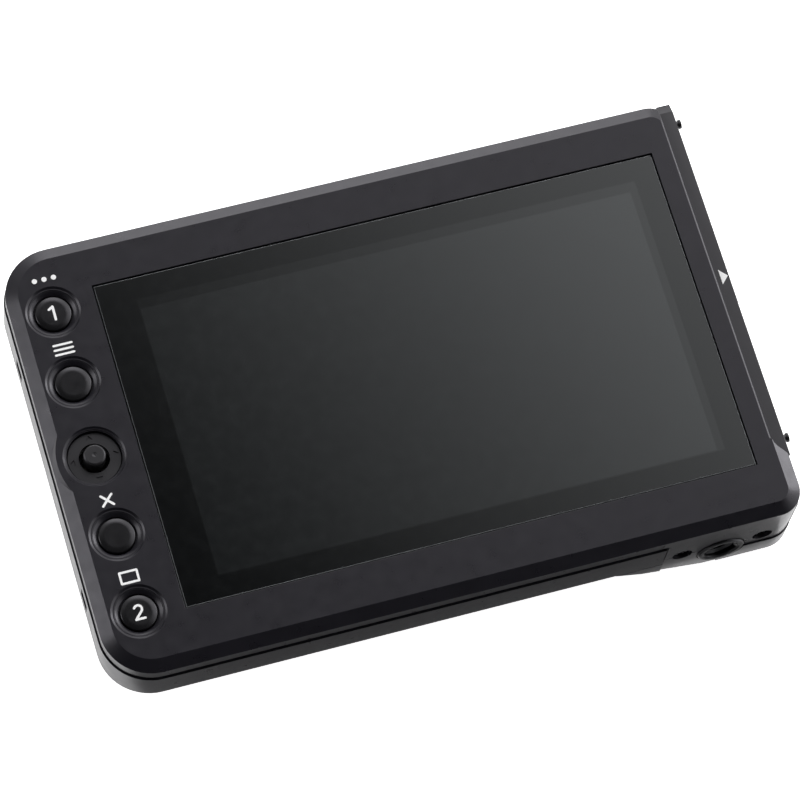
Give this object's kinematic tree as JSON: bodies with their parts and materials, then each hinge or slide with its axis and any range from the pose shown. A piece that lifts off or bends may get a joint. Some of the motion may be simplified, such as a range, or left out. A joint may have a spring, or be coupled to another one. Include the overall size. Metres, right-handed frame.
{
  "type": "camera field monitor",
  "caption": "Small on-camera field monitor with a flat glass screen, round side keys, a press joystick, a stand thread and a rear battery bay.",
  "frame": {"origin": "centre of the part's footprint on the surface it lies on, back down", "axes": "+X to the screen's right, +Y to the screen's top, +Z out of the screen"},
  "size_m": [0.1338, 0.085, 0.0202],
  "materials": {
    "case_plastic": "moulded charcoal plastic, fine even grain",
    "strip_plastic": "moulded plastic strip, fine grain",
    "key_plastic": "moulded plastic, smooth satin",
    "screen_glass": "flat polished cover glass",
    "screen_cell": "dark display cell",
    "clear_bond": "clear bonding sheet",
    "black_foam": "black adhesive foam",
    "sheet_metal": "pressed sheet",
    "amber_film": "amber circuit film",
    "dark_screw": "blackened small screw",
    "bright_steel": "plated steel",
    "green_board": "circuit board with solder mask",
    "chip_plastic": "moulded component bodies",
    "socket_metal": "plated socket shell",
    "socket_plastic": "moulded socket body",
    "spring_metal": "spring strip",
    "block_metal": "machined block",
    "bush_metal": "plated turned bush",
    "contact_metal": "gold-coloured contact blades",
    "latch_plastic": "moulded latch",
    "white_print": "white printed mark"
  },
  "bodies": {
    "housing": {"front_cover": "case_plastic", "rear_cover": "case_plastic", "side_strip": "strip_plastic", "strip_studs": "bright_steel", "index_mark": "white_print", "cover_glass": "screen_glass", "glass_tape": "black_foam", "bond_pad": "clear_bond", "lcd_cell": "screen_cell", "backlight": "sheet_metal", "lcd_flex": "amber_film", "chassis": "sheet_metal", "chassis_screws": "dark_screw", "main_board": "green_board", "board_parts": "chip_plastic", "board_screws": "bright_steel", "hdmi_socket": "socket_metal", "power_socket": "socket_plastic", "phone_socket": "socket_plastic", "key_board": "green_board", "key_switches": "chip_plastic", "key_board_screws": "bright_steel", "key_flex": "amber_film", "joy_plate": "key_plastic", "joy_housing": "sheet_metal", "joy_lid": "sheet_metal", "joy_dome": "spring_metal", "mount_block": "block_metal", "thread_bush": "bush_metal", "block_screws": "bright_steel", "case_screws": "dark_screw", "battery_plate": "case_plastic", "plate_screws": "bright_steel", "contact_block": "socket_plastic", "contact_blades": "contact_metal", "latch_spring": "spring_metal"},
    "key_a_body": {"key_a": "key_plastic"},
    "key_b_body": {"key_b": "key_plastic"},
    "key_c_body": {"key_c": "key_plastic"},
    "key_d_body": {"key_d": "key_plastic"},
    "joy_carriage_body": {"joy_carriage": "chip_plastic"},
    "joy_ring_body": {"joy_ring": "bright_steel"},
    "joy_stick_body": {"joy_stick": "bright_steel", "joy_cap": "key_plastic"},
    "latch_body": {"latch": "latch_plastic"}
  },
  "joints": [
    {"name": "key_a_press", "type": "slide", "parent": "housing", "child": "key_a_body", "axis": [0, 0, -1], "range_m": [0, 0.0006], "stiffness_N_per_m": 1500},
    {"name": "key_b_press", "type": "slide", "parent": "housing", "child": "key_b_body", "axis": [0, 0, -1], "range_m": [0, 0.0006], "stiffness_N_per_m": 1500},
    {"name": "key_c_press", "type": "slide", "parent": "housing", "child": "key_c_body", "axis": [0, 0, -1], "range_m": [0, 0.0006], "stiffness_N_per_m": 1500},
    {"name": "key_d_press", "type": "slide", "parent": "housing", "child": "key_d_body", "axis": [0, 0, -1], "range_m": [0, 0.0006], "stiffness_N_per_m": 1500},
    {"name": "stick_press", "type": "slide", "parent": "housing", "child": "joy_carriage_body", "axis": [0, 0, -1], "range_m": [0, 0.0004], "stiffness_N_per_m": 3000},
    {"name": "stick_tilt_y", "type": "hinge", "parent": "joy_carriage_body", "child": "joy_ring_body", "pos_m": [-0.0588, 0.00028, 0.0128], "axis": [1, 0, 0], "range_deg": [-5, 5], "stiffness_Nm_per_rad": 0.06},
    {"name": "stick_tilt_x", "type": "hinge", "parent": "joy_ring_body", "child": "joy_stick_body", "pos_m": [-0.0588, 0.00028, 0.0128], "axis": [0, 1, 0], "range_deg": [-5, 5], "stiffness_Nm_per_rad": 0.06},
    {"name": "latch_push", "type": "slide", "parent": "housing", "child": "latch_body", "axis": [0, 0, 1], "range_m": [0, 0.001], "stiffness_N_per_m": 2000, "deforming": ["latch_spring"]}
  ]
}
